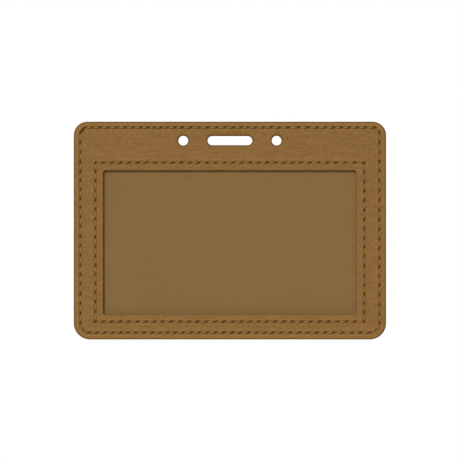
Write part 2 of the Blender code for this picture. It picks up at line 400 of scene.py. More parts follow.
def cut(piece: Piece, tools: list[Piece]) -> None:
    """Cut each tool's shape out of a piece for good.

    Args:
        piece: The object that is cut.
        tools: Closed shapes, which are removed afterwards.
    """
    for tool in tools:
        modifier = piece.modifiers.new(tool.name, "BOOLEAN")
        modifier.operation = "DIFFERENCE"
        modifier.solver = "EXACT"
        modifier.object = tool
    whole = piece.data
    bpy.context.view_layer.update()
    evaluated = piece.evaluated_get(bpy.context.evaluated_depsgraph_get())
    piece.data = bpy.data.meshes.new_from_object(evaluated)
    piece.modifiers.clear()
    bpy.data.meshes.remove(whole)
    piece.data.name = piece.name
    for tool in tools:
        bpy.data.objects.remove(tool, do_unlink=True)


def dress(piece: Piece, material: Material, slot: str, *nodes: str) -> Piece:
    """Give a finished piece its material, shade it and seat it on the frame.

    Args:
        piece: The finished object.
        material: What the piece is made of.
        slot: Not used.
        nodes: The frame's nodes that the piece stands for.

    Returns:
        The piece.
    """
    piece.data.materials.clear()
    piece.data.materials.append(material)
    piece.data.shade_smooth()
    piece.data.set_sharp_from_angle(angle=SHARP_ANGLE)
    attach(piece, BODY)
    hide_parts(*nodes)
    log.info("%s: %d faces", piece.name, len(piece.data.polygons))
    return piece


@dataclass(frozen=True)
class Leatherette:
    """Polyurethane leatherette: a fine embossed grain, wiped level while wet, with a satin top coat.

    The embossing gives the eye small soft domes, and the wiped dye leaves faint level streaks. A
    stitch channel is darkened with painted shade, deeper on its lower and right side as painted thread
    shadow, and the shoulder beside it carries a painted highlight. Cut edges and needle pits are browner
    and matt, each punched opening's upper lip takes painted shade and each level stitch a painted shadow
    below it.
    """

    name: str = "leatherette_embossed_tan"
    deep: str = "#835C1F"
    worn: str = "#946A28"
    valley: str = "#6A4517"
    # painted highlight on the shoulders beside the seams and on the border outside the outer seam
    ridge_highlight: str = "#AE8240"
    edge: str = "#774C10"
    # painted shade in the stitch channels, which also gives the painted thread shadow on their lower and
    # right side
    channel: str = "#5C3C14"
    # the needle pits' dark tone, also used for the painted shadow below each level stitch
    pit: str = "#50310E"
    roughness: float = 0.6
    ior: float = 1.36
    roughness_spread: float = 0.05
    sheens: tuple[float, float] = (0.46, 0.08)
    grain: float = 0.40 * MM
    grain_stretch: float = 1.5
    grain_smoothness: float = 0.6
    grain_bump: Bump = Bump(0.6, 0.08 * MM, sunk=True)
    valley_reaches: tuple[float, float] = (0.22, 0.7)
    valley_share: float = 0.57
    streak: float = 0.36 * MM
    streak_stretch: float = 12.0
    pore: float = 0.23 * MM
    pore_bump: Bump = Bump(0.4, 0.02 * MM)
    crease: float = 1.9 * MM
    crease_bump: Bump = Bump(0.08, 0.10 * MM)

    def stretched(self, tree: Tree, place: Socket, stretch: float) -> Socket:
        """Return the place squeezed level, which draws a pattern out by the stretch."""
        return add_node(tree, "Mapping", {"Vector": place, "Scale": (1 / stretch, 1.0, 1.0)})["Vector"]

    def build(self) -> Material:
        """Return the material, which reads the piece's painted ridge highlight, painted channel shade, edge
        and pit attributes; the pit attribute also holds painted stitch shadows.
        """
        material, tree, shader = new_finish(self.name)
        place = add_node(tree, "TexCoord")["Object"]
        wiped = self.stretched(tree, place, self.streak_stretch)
        streak, crease, pore = (
            add_node(tree, "TexNoise", {"Vector": spot, "Scale": 1 / size, "Detail": detail})["Fac"]
            for spot, size, detail in (
                (wiped, self.streak, 1.0),
                (place, self.crease, 3.0),
                (place, self.pore, 2.0),
            )
        )
        embossed = self.stretched(tree, place, self.grain_stretch)
        domes = {"Vector": embossed, "Scale": 1 / self.grain, "Smoothness": self.grain_smoothness}
        grain = add_node(tree, "TexVoronoi", domes, feature="SMOOTH_F1")["Distance"]
        low, high = NOISE_SHARES
        spread = add_node(tree, "MapRange", {"Value": streak, "From Min": low, "From Max": high})
        near, far = self.valley_reaches
        depth = {"Value": grain, "From Min": near, "From Max": far, "To Max": self.valley_share}
        valley = add_node(tree, "MapRange", depth)
        tints = {"ridge_highlight": self.ridge_highlight, "channel": self.channel, "edge": self.edge, "pit": self.pit}
        shares = {name: add_node(tree, "Attribute", attribute_name=name)["Fac"] for name in tints}
        layers = [(spread["Result"], self.worn), (valley["Result"], self.valley)]
        layers += [(shares[name], tint) for name, tint in tints.items()]
        either = {0: shares["edge"], 1: shares["pit"]}
        matt = add_node(tree, "Math", either, operation="MAXIMUM")["Value"]
        shiny, dull = self.sheens
        sheen = add_node(tree, "MapRange", {"Value": matt, "To Min": shiny, "To Max": dull})
        handled = {"Value": crease, "From Min": low, "From Max": high}
        handled["To Min"] = self.roughness - self.roughness_spread
        handled["To Max"] = self.roughness + self.roughness_spread
        polish = add_node(tree, "MapRange", handled)
        reliefs = [(crease, self.crease_bump), (grain, self.grain_bump), (pore, self.pore_bump)]
        levels = {"Roughness": polish["Result"], "Specular IOR Level": sheen["Result"], "IOR": self.ior}
        finish_surface(shader, self.deep, layers, reliefs, levels)
        return material


@dataclass(frozen=True)
class SewingThread:
    """Bonded polyester thread: two plies twisted together, with a slight waxy sheen."""

    name: str = "thread_bonded_polyester"
    ply: str = "#9C743A"
    groove: str = "#6E4D22"
    roughness: float = 0.42
    ior: float = 1.42
    plies: int = 2
    turns: float = 5.0  # twists of the plies in one stitch
    rise_reaches: tuple[float, float] = (-1.0, 0.6)
    bump: Bump = Bump(0.6, 0.05 * MM)

    def build(self) -> Material:
        """Return the material, which follows each stitch by the piece's UV map."""
        material, tree, shader = new_finish(self.name)
        place = add_node(tree, "UVMap", uv_map="UVMap")["UV"]
        parts = add_node(tree, "SeparateXYZ", {"Vector": place})
        along = {0: parts["Y"], 1: self.turns, 2: parts["X"]}
        wound = add_node(tree, "Math", along, operation="MULTIPLY_ADD")["Value"]
        turned = add_node(tree, "Math", {0: wound, 1: self.plies * math.tau}, operation="MULTIPLY")
        wave = add_node(tree, "Math", {0: turned["Value"]}, operation="SINE")["Value"]
        low, high = self.rise_reaches
        rise = add_node(tree, "MapRange", {"Value": wave, "From Min": low, "From Max": high})["Result"]
        levels = {"Roughness": self.roughness, "IOR": self.ior}
        finish_surface(shader, self.groove, [(rise, self.ply)], [(rise, self.bump)], levels)
        return material


@dataclass(frozen=True)
class WovenLining:
    """Plain-woven polyester lining, pressed flat: fine weft lines and a dry, even tone."""

    name: str = "lining_plain_weave"
    yarn: str = "#A17B4B"
    gap: str = "#8D6D42"
    roughness: float = 0.85
    ior: float = 1.4
    weft: float = 0.80 * MM  # usual picks are about 0.3 mm apart, drawn coarser so that they show
    warp: float = 0.52 * MM
    warp_share: float = 0.3
    waver: float = 0.4
    weave_share: float = 0.32
    drift: float = 11.0 * MM
    drift_shares: tuple[float, float] = (0.165, 0.305)
    bump: Bump = Bump(0.2, 0.015 * MM)

    def build(self) -> Material:
        """Return the material, with its yarns level and upright."""
        material, tree, shader = new_finish(self.name)
        place = add_node(tree, "TexCoord")["Object"]
        bands = {}
        for way, spacing in (("Z", self.weft), ("X", self.warp)):
            lines = {"Vector": place, "Scale": WAVE_SCALE / spacing, "Distortion": self.waver}
            lines |= {"Detail": 1.0, "Detail Scale": 1.5}
            bands[way] = add_node(tree, "TexWave", lines, wave_type="BANDS", bands_direction=way)["Fac"]
        crossed = {0: bands["X"], 1: self.warp_share, 2: bands["Z"]}
        weave = add_node(tree, "Math", crossed, operation="MULTIPLY_ADD")["Value"]
        drift = add_node(tree, "TexNoise", {"Vector": place, "Scale": 1 / self.drift, "Detail": 3.0})
        low, high = NOISE_SHARES
        least, most = self.drift_shares
        limits = {"Value": drift["Fac"], "From Min": low, "From Max": high, "To Min": least, "To Max": most}
        uneven = add_node(tree, "MapRange", limits)["Result"]
        woven = {0: weave, 1: self.weave_share, 2: uneven}
        share = add_node(tree, "Math", woven, operation="MULTIPLY_ADD")["Value"]
        levels = {"Roughness": self.roughness, "IOR": self.ior}
        finish_surface(shader, self.gap, [(share, self.yarn)], [(weave, self.bump)], levels)
        return material


@dataclass(frozen=True)
class ClearFilm:
    """Clear vinyl film, calendered with a satin face: it shows what is behind it, slightly greyed."""

    name: str = "film_clear_vinyl"
    tint: str = "#F4F4F0"
    roughness: float = 0.06
    ior: float = 1.08  # lower than vinyl's 1.5, so that it hardly mirrors its surroundings

    def build(self) -> Material:
        """Return the material, which lets the lamps and the surroundings light what lies behind it."""
        material, tree, shader = new_finish(self.name)
        levels = {"Transmission Weight": 1.0, "Roughness": self.roughness, "IOR": self.ior}
        fill(shader, {"Base Color": linear(self.tint), **levels})
        ray = add_node(tree, "LightPath")
        kinds = {0: ray["Is Shadow Ray"], 1: ray["Is Diffuse Ray"]}
        lighting = add_node(tree, "Math", kinds, operation="MAXIMUM")["Value"]
        see_through(shader, lighting, self.tint)
        return material


@dataclass(frozen=True)
class StiffBoard:
    """Brown kraft board: pressed fibres in sheets, with a dyed, slightly fuzzy cut edge."""

    name: str = "board_kraft_pressed"
    fibre: str = "#8A6534"
    shade: str = "#6B4A22"
    roughness: float = 0.9
    ior: float = 1.4
    sheen: float = 0.2
    ply: float = 0.21 * MM
    fleck: float = 0.9 * MM
    bump: Bump = Bump(0.5, 0.08 * MM)

    def build(self) -> Material:
        """Return the material, with its sheets lying square to Y."""
        material, tree, shader = new_finish(self.name)
        place = add_node(tree, "TexCoord")["Object"]
        layered = {"Vector": place, "Scale": (1.0, self.fleck / self.ply, 1.0)}
        squeezed = add_node(tree, "Mapping", layered)["Vector"]
        noise = {"Vector": squeezed, "Scale": 1 / self.fleck, "Detail": 6.0}
        fibres = add_node(tree, "TexNoise", noise)["Fac"]
        levels = {"Roughness": self.roughness, "IOR": self.ior, "Specular IOR Level": self.sheen}
        finish_surface(shader, self.shade, [(fibres, self.fibre)], [(fibres, self.bump)], levels)
        return material


@dataclass(frozen=True)
class StitchRow:
    """A straight run of stitches: how many, and the last one's length over the first one's.

    Where the hands gripped the work anew, the stitches shorten and lengthen in slow swells.
    """

    count: int
    growth: float = 1.0
    swell_share: float = 0.0
    swells: int = 3
    uneven_shares: tuple[float, float] = (0.93, 1.07)

    def shares(self, uneven: random.Random) -> list[float]:
        """Return where each stitch starts, as shares of the run.

        Args:
            uneven: The source of the small differences that a hand-fed seam has.

        Returns:
            One share for each stitch, from 0.
        """
        last = max(self.count - 1, 1)
        places = [index / last for index in range(self.count)]
        lengths = [1 + (self.growth - 1) * place for place in places]
        swells = [1 - self.swell_share * math.sin(math.tau * self.swells * place) for place in places]
        lengths = [length * swell for length, swell in zip(lengths, swells, strict=True)]
        lengths = [length * uneven.uniform(*self.uneven_shares) for length in lengths]
        ends = [0.0]
        for length in lengths:
            ends.append(ends[-1] + length)
        return [end / ends[-1] for end in ends[:-1]]


@dataclass(frozen=True)
class Stitch:
    """One stitch, from the needle hole that it leaves to the one that it enters."""

    start: Vector
    end: Vector
    hole_share: float
    tight: bool

    @property
    def run(self) -> Vector:
        """The stitch's way, as long as the stitch."""
        return self.end - self.start

    @property
    def level(self) -> bool:
        """Whether the stitch runs more level than upright."""
        return abs(self.run.x) > abs(self.run.z)


@dataclass(frozen=True)
class Slit:
    """A soft-edged mark in the face: a slit that the needle or the pull of the thread left, or a painted
    stitch shadow without depth.
    """

    middle: Vector
    turn: float
    length: float
    width: float
    depth_share: float
    tone_share: float

    def share(self, place: Vector) -> float:
        """Return how far into the slit a place lies, from 0 to 1."""
        offset = Matrix.Rotation(self.turn, 3, "Y") @ (place - self.middle)
        away = 2 * math.hypot(offset.x / self.length, offset.z / self.width)
        return smooth_step((SLIT_EDGE - away) / SLIT_SOFTNESS)


@dataclass(frozen=True)
class Seam:
    """A closed seam along an outline, sewn anticlockwise as seen from the front."""

    path: Outline
    rows: tuple[StitchRow, StitchRow, StitchRow, StitchRow]
    top_corner_steps: int
    bottom_corner_steps: int
    seed: int
    bend_share: float = 0.3

    def needle_holes(self) -> list[tuple[Vector, float]]:
        """Return the needle holes in sewing order, with Y at zero, and each one's size as a share."""
        uneven = random.Random(self.seed)
        steps = [self.top_corner_steps] * 2 + [self.bottom_corner_steps] * 2
        arcs = [self.path.arc(turn, count) for turn, count in enumerate(steps)]
        holes = []
        for turn, arc in enumerate(arcs):
            following = arcs[(turn + 1) % 4][0]
            holes += [(place, self.bend_share if index else 1.0) for index, place in enumerate(arc[:-1])]
            run = [arc[-1].lerp(following, share) for share in self.rows[turn].shares(uneven)]
            holes += [(place, 1.0) for place in run]
        return holes

    def distance(self, x: float, z: float) -> float:
        """Return how far a point lies outside the stitches; a one-stitch corner is cut straight."""
        path = self.path
        up = z - (path.bottom + path.top) / 2
        if up < 0 or self.top_corner_steps != 1:
            return path.distance(x, z)
        across = abs(x - (path.left + path.right) / 2) - (path.right - path.left) / 2
        up -= (path.top - path.bottom) / 2
        return max(across, up, (across + up + path.top_radius) * math.sqrt(0.5))

    def stitches(self) -> list[Stitch]:
        """Return the stitches; the one across a one-stitch top left corner is drawn tight."""
        holes = self.needle_holes()
        tight = self.path.arc(1, 1)[0] if self.top_corner_steps == 1 else None
        return [
            Stitch(place, holes[(index + 1) % len(holes)][0], share, place == tight)
            for index, (place, share) in enumerate(holes)
        ]


@dataclass(frozen=True)
class Relief:
    """What sewing does to a cover's face: pressed channels, puffed shoulders and needle pits."""

    seams: tuple[Seam, ...]
    channel_reach: float = 0.54 * MM
    channel_floor: float = 0.18 * MM
    channel_depth: float = 0.16 * MM
    # how much painted shade darkens a channel, and how much more on its lower and right side as painted
    # thread shadow
    channel_shade_share: float = 0.54
    thread_shadow_skew_share: float = 0.4
    shoulder: float = 0.72 * MM
    shoulder_reach: float = 0.24 * MM
    shoulder_rise: float = 0.065 * MM
    # how strong the painted highlight on the shoulders and border is, and how much of it an upright row
    # keeps
    ridge_highlight_share: float = 0.18
    upright_highlight_share: float = 0.35
    pit_length: float = 1.05 * MM
    pit_width: float = 0.48 * MM
    pit_depth: float = 0.38 * MM
    pit_turn: float = math.radians(34.0)
    pit_turn_spread: float = math.radians(13.0)
    pit_size_shares: tuple[float, float] = (0.78, 1.1)
    # the painted shadow below each level stitch, which has no depth
    stitch_shadow_length: float = 1.8 * MM
    stitch_shadow_width: float = 0.40 * MM
    stitch_shadow_turn: float = math.radians(8.0)
    stitch_shadow_back: float = 0.66 * MM
    stitch_shadow_drop: float = 0.32 * MM
    stitch_shadow_tone_shares: tuple[float, float] = (0.6, 1.2)
    tight_length_share: float = 1.15
    tight_width: float = 0.66 * MM
    tight_turn: float = math.radians(14.0)
    tight_shift: tuple[float, float, float] = (-0.12 * MM, 0.0, -0.12 * MM)
    seed: int = 5

    def slits(self) -> list[Slit]:
        """Return every slit in the face: needle pits, painted stitch shadows and tight stitches.

        A pit slants across its row. On a level row a painted shadow, with no depth, runs from the pit
        along the lower side of the stitch before it.
        """
        uneven = random.Random(self.seed)
        slits = []
        for stitch in (stitch for seam in self.seams for stitch in seam.stitches()):
            run = stitch.run.normalized()
            forward = run.x if stitch.level else run.z
            lean = math.atan2(run.z, run.x) if forward > 0 else math.atan2(-run.z, -run.x)
            size = stitch.hole_share * uneven.uniform(*self.pit_size_shares)
            slant = self.pit_turn if stitch.level else -self.pit_turn
            slant += uneven.uniform(-self.pit_turn_spread, self.pit_turn_spread)
            tone = uneven.uniform(*self.stitch_shadow_tone_shares)
            length, width = self.pit_length * size, self.pit_width * size
            slits.append(Slit(stitch.start, lean + slant, length, width, size, 1.0))
            # a painted shadow below the stitch, with a tone but no depth
            if stitch.level and stitch.hole_share == 1:
                middle = stitch.start + Vector((-self.stitch_shadow_back, 0, -self.stitch_shadow_drop))
                turn = lean + self.stitch_shadow_turn
                slits.append(Slit(middle, turn, self.stitch_shadow_length, self.stitch_shadow_width, 0.0, tone))
            if stitch.tight:
                middle = (stitch.start + stitch.end) / 2 + Vector(self.tight_shift)
                length = stitch.run.length * self.tight_length_share
                slits.append(Slit(middle, lean + self.tight_turn, length, self.tight_width, 1.0, 1.0))
        return slits

    def channel_share(self, x: float, z: float) -> tuple[float, float, float, float]:
        """Return what a place has of the channel's depth, its lower or right side, the shoulder and the
        painted highlight.

        The painted highlight lies on the shoulder, and on the border outside the first seam, weaker beside
        an upright row.
        """
        channel, skew, shoulder, highlight = 0.0, 0.0, 0.0, 0.0
        step = SAME_PLACE
        for seam in self.seams:
            distance = seam.distance(x, z)
            away = abs(distance)
            swell = math.exp(-(((away - self.shoulder) / self.shoulder_reach) ** 2))
            shoulder = max(shoulder, swell)
            steepness = abs(seam.distance(x, z + step) - distance) / step
            # painted highlight: full beside a level row, weaker beside an upright one
            level = self.upright_highlight_share + (1 - self.upright_highlight_share) * steepness
            border = smooth_step(distance / self.shoulder) if seam is self.seams[0] else 0.0
            highlight = max(highlight, max(swell, border) * level)
            if away < self.channel_reach:
                wall = (self.channel_reach - away) / (self.channel_reach - self.channel_floor)
                channel = smooth_step(wall)
                # which side of the path a place lies on, for the painted thread shadow on the lower and
                # right side
                outward = (seam.distance(x + step, z - step) - distance) / step
                skew = distance * outward / self.channel_reach
        return channel, skew, shoulder, highlight

    def pit_share(self, place: Vector, tree: KDTree, slits: list[Slit]) -> tuple[float, float]:
        """Return how much of a needle pit's depth a place has, and how much dark tone from a pit or a
        painted stitch shadow.
        """
        depth, tone = 0.0, 0.0
        for _, index, _ in tree.find_range(place, self.stitch_shadow_length):
            slit = slits[index]
            share = slit.share(place)
            depth = max(depth, slit.depth_share * share)
            tone = max(tone, slit.tone_share * share)
        return depth, tone


@dataclass
class HolderPlan:
    """The outlines and seams that the pieces share, worked out from the frame."""

    side_border: float = 10.1 * MM
    right_excess: float = 0.12 * MM  # how much wider the window's right border is
    bottom_border: float = 8.46 * MM
    rim_top_radius: float = 4.7 * MM
    rim_bottom_radius: float = 5.6 * MM
    window_below_top: float = 16.84 * MM
    window_radius: float = 1.1 * MM
    slot_below_top: float = 6.53 * MM
    slot_length: float = 15.5 * MM
    slot_height: float = 3.2 * MM
    hole_diameter: float = 3.4 * MM
    hole_spacing: float = 32.3 * MM
    entry_below_slot: float = 2.9 * MM
    entry_height: float = 4.6 * MM
    entry_half_width: float = 45.25 * MM
    entry_radius: float = 1.4 * MM
    outer_seam_insets: tuple[float, float, float] = (2.0 * MM, 2.3 * MM, 2.4 * MM)
    outer_seam_radii: tuple[float, float] = (1.7 * MM, 3.3 * MM)
    window_seam_margins: tuple[float, float, float] = (2.72 * MM, 2.6 * MM, 2.28 * MM)
    rim: Outline = field(init=False)
    window: Outline = field(init=False)
    entry: Outline = field(init=False)
    punches: tuple[Outline, ...] = field(init=False)
    outer_seam: Seam = field(init=False)
    window_seam: Seam = field(init=False)

    def __post_init__(self) -> None:
        """Place every outline around the frame's front cover."""
        low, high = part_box("front_cover")
        self.rim = Outline(low.x, high.x, low.z, high.z, self.rim_top_radius, self.rim_bottom_radius)
        left = low.x + self.side_border
        right = high.x - self.side_border - self.right_excess
        window_top = high.z - self.window_below_top
        window_bottom = low.z + self.bottom_border
        radius = self.window_radius
        self.window = Outline(left, right, window_bottom, window_top, radius, radius)
        entry_top = high.z - self.slot_below_top - self.slot_height / 2 - self.entry_below_slot
        entry_bottom = entry_top - self.entry_height
        self.entry = Outline.centred(self.entry_half_width, entry_bottom, entry_top, self.entry_radius)
        self.punches = self.punched_outlines(high.z - self.slot_below_top)
        self.outer_seam = self.seam_around_rim()
        self.window_seam = self.seam_around_window()

    def punched_outlines(self, level: float) -> tuple[Outline, ...]:
        """Return the strap slot and the two round holes, centred on one level."""
        half = self.slot_height / 2
        radius = self.hole_diameter / 2
        slot = Outline.centred(self.slot_length / 2, level - half, level + half, half)
        holes = [
            Outline(centre - radius, centre + radius, level - radius, level + radius, radius, radius)
            for centre in (-self.hole_spacing / 2, self.hole_spacing / 2)
        ]
        return (slot, *holes)

    def seam_around_rim(self) -> Seam:
        """Return the outer seam, whose stitches cut across its corners."""
        top, side, bottom = self.outer_seam_insets
        rim = self.rim
        edges = (rim.left + side, rim.right - side, rim.bottom + bottom, rim.top - top)
        path = Outline(*edges, *self.outer_seam_radii)
        top_row = StitchRow(36, 0.82, swell_share=0.13)
        rows = (top_row, StitchRow(20, 1.04), StitchRow(34, 1.14), StitchRow(20, 1.0))
        return Seam(path, rows, top_corner_steps=1, bottom_corner_steps=2, seed=11)

    def seam_around_window(self) -> Seam:
        """Return the window's seam, which has a stitch hole right in each corner."""
        top, side, bottom = self.window_seam_margins
        path = Outline.centred(
            side - self.window.left, self.window.bottom - bottom, self.window.top + top, SMALLEST_RADIUS
        )
        rows = (StitchRow(31, 0.95), StitchRow(17, 1.03), StitchRow(31, 1.0), StitchRow(17, 1.0))
        return Seam(path, rows, top_corner_steps=0, bottom_corner_steps=0, seed=23)


@dataclass
class Cover:
    """A leatherette cover: its skin, its punched openings, its relief and its edge tones."""

    plan: HolderPlan
    node: str
    facing: Facing
    opening: Outline
    seams: tuple[Seam, ...]
    edge_inset: float = 0.62 * MM
    edge_fall: float = 0.58 * MM
    lip_inset: float = 0.05 * MM
    lip_fall: float = 0.08 * MM
    punch_flare: float = 0.56 * MM
    punch_fall: float = 0.80 * MM
    punch_shade_lift: float = 0.17 * MM  # how much higher the edge tone sits than its hole, as painted shade on the upper lip
    round_steps: int = 5
    seam_steps: tuple[float, ...] = (0.95, 0.68, 0.52, 0.44, 0.34, 0.22, 0.10)
    band_steps: int = 7
    border_steps: int = 3
    edge_reach: float = 0.62 * MM
    lip_reach: float = 0.05 * MM
    # how much weaker the edge tone is down the cut wall, below the rounding
    wall_paler_share: float = 0.4
    stations: Stations = Stations(330, 215, 10)

    def __post_init__(self) -> None:
        """Find the cover's outer face and its thickness."""
        low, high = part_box(self.node)
        self.face = low.y if self.facing is Facing.FRONT else high.y
        self.inward = -self.facing.value
        self.thickness = high.y - low.y

    def rounding(self, inset: float, fall: float) -> list[tuple[float, float]]:
        """Return how far in and how deep each ring of a rounded edge lies, from its wall to its face."""
        angles = [QUARTER_TURN * step / self.round_steps for step in range(self.round_steps + 1)]
        return [(inset * (1 - math.cos(angle)), fall * (1 - math.sin(angle))) for angle in angles]

    def profile(self) -> list[tuple[Outline, float]]:
        """Return every ring's outline and depth, from the rim's back edge round to it again."""
        rim, opening = self.plan.rim, self.opening
        rings = [(rim, self.thickness)]
        rings += [
            (rim.offset(-inset), depth) for inset, depth in self.rounding(self.edge_inset, self.edge_fall)
        ]
        offsets = [step * MM for step in self.seam_steps]
        offsets = [*offsets, 0.0, *(-offset for offset in reversed(offsets))]
        for seam in self.seams:
            if seam is not self.seams[0]:
                rings += self.band(rings[-1][0], seam.path.offset(offsets[0]), self.band_steps)
            rings += [(seam.path.offset(offset), 0.0) for offset in offsets]
        rings += self.band(rings[-1][0], opening.offset(self.lip_inset), self.border_steps)
        lip = reversed(self.rounding(self.lip_inset, self.lip_fall))
        rings += [(opening.offset(inset), depth) for inset, depth in lip]
        inner = (opening, opening.offset(self.edge_reach), rim.offset(-self.edge_reach), rim)
        rings += [(outline, self.thickness) for outline in inner]
        return rings

    def band(self, start: Outline, end: Outline, steps: int) -> list[tuple[Outline, float]]:
        """Return rings that lead over the flat face from one outline to another, without either."""
        return [(start.toward(end, step / steps), 0.0) for step in range(1, steps)]

    def punch_tools(self) -> list[Piece]:
        """Return a cutting tool for each punched opening, flared where the punch rounds the edge."""
        tools = []
        overrun = self.thickness
        for number, outline in enumerate(self.plan.punches):
            skin = RingSkin(PUNCH_STATIONS)
            skin.add(outline.offset(self.punch_flare), self.face - self.inward * overrun)
            for inset, depth in reversed(self.rounding(self.punch_flare, self.punch_fall)):
                skin.add(outline.offset(inset), self.face + self.inward * depth)
            skin.add(outline, self.face + self.inward * (self.thickness + overrun))
            tools.append(new_piece(f"{self.node}_punch_{number}", skin.cap()))
        return tools

    def press(self, piece: Piece) -> None:
        """Press the relief into the outer face and write the tones that the material reads."""
        relief = Relief(self.seams)
        slits = relief.slits()
        tree = KDTree(len(slits))
        for index, slit in enumerate(slits):
            tree.insert(slit.middle, index)
        tree.balance()
        mesh = piece.data
        tones = {name: [0.0] * len(mesh.vertices) for name in ("edge", "channel", "ridge_highlight", "pit")}
        for vert in mesh.vertices:
            place = Vector((vert.co.x, 0, vert.co.z))
            depth = (vert.co.y - self.face) * self.inward
            channel, skew, shoulder, highlight = relief.channel_share(place.x, place.z)
            pit, shade = relief.pit_share(place, tree, slits)
            if depth < SAME_PLACE:
                sink = relief.channel_depth * channel + relief.pit_depth * pit * channel
                sink -= relief.shoulder_rise * shoulder * (1 - channel)
                vert.co.y += self.inward * sink
                # painted shade in the channel, deeper on its lower and right side as painted thread shadow
                pressed = channel * (1 + relief.thread_shadow_skew_share * skew)
                tones["channel"][vert.index] = relief.channel_shade_share * pressed
                # painted highlight on the shoulders and on the border outside the outer seam
                tones["ridge_highlight"][vert.index] = relief.ridge_highlight_share * highlight * (1 - channel)
                # the needle pits' tone, together with the painted stitch shadows
                tones["pit"][vert.index] = shade
            from_rim = -self.plan.rim.distance(place.x, place.z)
            # the edge tone is lifted above each punched opening, as painted shade on its upper lip
            shade_z = place.z - self.punch_shade_lift
            from_punch = min(hole.distance(place.x, shade_z) for hole in self.plan.punches)
            from_lip = self.opening.distance(place.x, place.z)
            wall_fade = 1 - self.wall_paler_share * smooth_step(depth / self.edge_fall)
            tones["edge"][vert.index] = max(
                smooth_step(1 - from_rim / self.edge_reach) * wall_fade,
                smooth_step(1 - from_punch / self.edge_reach),
                smooth_step(1 - from_lip / self.lip_reach),
            )
        for name, values in tones.items():
            mesh.attributes.new(name, "FLOAT", "POINT").data.foreach_set("value", values)

    def build(self, material: Material) -> Piece:
        """Build and dress the cover.

        Args:
            material: The leatherette.

        Returns:
            The cover, in place of its frame node.
        """
        skin = RingSkin(self.stations)
        for outline, depth in self.profile():
            skin.add(outline, self.face + self.inward * depth)
        piece = new_piece(f"{self.node}_skin", skin.close())
        cut(piece, self.punch_tools())
        self.press(piece)
        return dress(piece, material, "leatherette", self.node)


@dataclass
class Thread:
    """One side of a seam: a row of stitches, each a plump float of thread that dives at both ends.

    A stitch that was drawn tight has sunk out of sight.
    """

    seam: Seam
    node: str
    facing: Facing
    width: float = 0.50 * MM
    height: float = 0.40 * MM
    dive: float = 0.50 * MM
    arch: float = 2.6
    lift: float = 0.04 * MM
    lean_spread: float = math.radians(3.0)
    around: int = 8
    along: int = 8
    overlap: float = 0.97

    def crest(self) -> float:
        """Return the Y of the stitches' middle line at their crest."""
        low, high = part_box(self.node)
        outer = low.y if self.facing is Facing.FRONT else high.y
        return outer - self.facing.value * self.height / 2

    def add_stitch(self, shape: Shape, stitch: Stitch, lean: float) -> None:
        """Add one stitch to the thread.

        Args:
            shape: The bmesh of the whole thread.
            stitch: Where the stitch runs.
            lean: How far the stitch is turned within its row, in radians.
        """
        outward = Vector((0, self.facing.value, 0))
        along = Matrix.Rotation(-lean, 3, "Y") @ stitch.run.normalized()
        side = outward.cross(along)
        middle = (stitch.start + stitch.end) / 2 + Vector((0, self.crest(), 0))
        if stitch.level:
            middle.z += self.lift
        half = stitch.run.length / 2 * self.overlap
        made = bmesh.ops.create_uvsphere(
            shape, u_segments=self.around, v_segments=self.along, radius=1.0, calc_uvs=True
        )
        for vert in made["verts"]:
            across, up, forth = vert.co
            fullness = math.sqrt(1 + forth * forth)
            reach = side * (across * fullness * self.width / 2)
            rise = outward * (up * fullness * self.height / 2 - self.dive * abs(forth) ** self.arch)
            vert.co = middle + along * (forth * half) + reach + rise

    def build(self, material: Material) -> Piece:
        """Build and dress the thread.

        Args:
            material: The sewing thread.

        Returns:
            The row of stitches, in place of its frame node.
        """
        shape = bmesh.new()
        shape.loops.layers.uv.new("UVMap")
        uneven = random.Random(self.seam.seed + 1)
        for stitch in (stitch for stitch in self.seam.stitches() if not stitch.tight):
            way = Plane.LEVEL if stitch.level else Plane.UPRIGHT
            lean = way.value + uneven.uniform(-self.lean_spread, self.lean_spread)
            self.add_stitch(shape, stitch, lean)
        piece = new_piece(f"{self.node}_stitches", shape)
        return dress(piece, material, "thread", self.node)


@dataclass
class Sheet:
    """A thin flat layer cut to an outline, divided finely enough to take a gentle wave."""

    node: str
    outline: Outline
    wave: float
    wavelength: float
    front: float
    thickness: float
    division: float = 2.4 * MM
    held_margin: float = 4 * MM
    ease: float = 6 * MM
    upright_turns: float = 1.4
    starts: tuple[float, float] = (1.3, 0.4)
    stations: Stations = Stations(1, 1, 8)

    def build(self, tools: list[Piece]) -> Piece:
        """Build the sheet.

        Args:
            tools: What is cut out of it.

        Returns:
            The sheet, undressed.
        """
        shape = bmesh.new()
        ring = [shape.verts.new((point.x, 0, point.z)) for point in self.outline.points(self.stations)]
        shape.faces.new(ring)
        for normal, low, high in (
            (Vector((1, 0, 0)), self.outline.left, self.outline.right),
            (Vector((0, 0, 1)), self.outline.bottom, self.outline.top),
        ):
            count = round((high - low) / self.division)
            for step in range(1, count):
                place = normal * (low + (high - low) * step / count)
                everything = [*shape.verts, *shape.edges, *shape.faces]
                bmesh.ops.bisect_plane(shape, geom=everything, plane_co=place, plane_no=normal)
        grown = bmesh.ops.extrude_face_region(shape, geom=list(shape.faces), use_keep_orig=True)
        back = [item for item in grown["geom"] if isinstance(item, Vert)]
        bmesh.ops.translate(shape, verts=back, vec=(0, self.thickness, 0))
        bmesh.ops.recalc_face_normals(shape, faces=shape.faces)
        piece = new_piece(f"{self.node}_sheet", shape)
        bpy.context.view_layer.update()
        if tools:
            cut(piece, tools)
        for vert in piece.data.vertices:
            vert.co.y += self.front + self.lift(vert.co.x, vert.co.z)
        return piece

    def lift(self, x: float, z: float) -> float:
        """Return how far the sheet waves from flat; it lies flat where it is held."""
        free = smooth_step(-self.held.distance(x, z) / self.ease)
        turns = math.tau / self.wavelength
        across, up = self.starts
        wave = math.sin(x * turns + across) * math.sin(z * turns * self.upright_turns + up)
        return self.wave * free * wave

    @property
    def held(self) -> Outline:
        """The outline outside which the sheet is held flat."""
        return self.outline.offset(-self.held_margin)


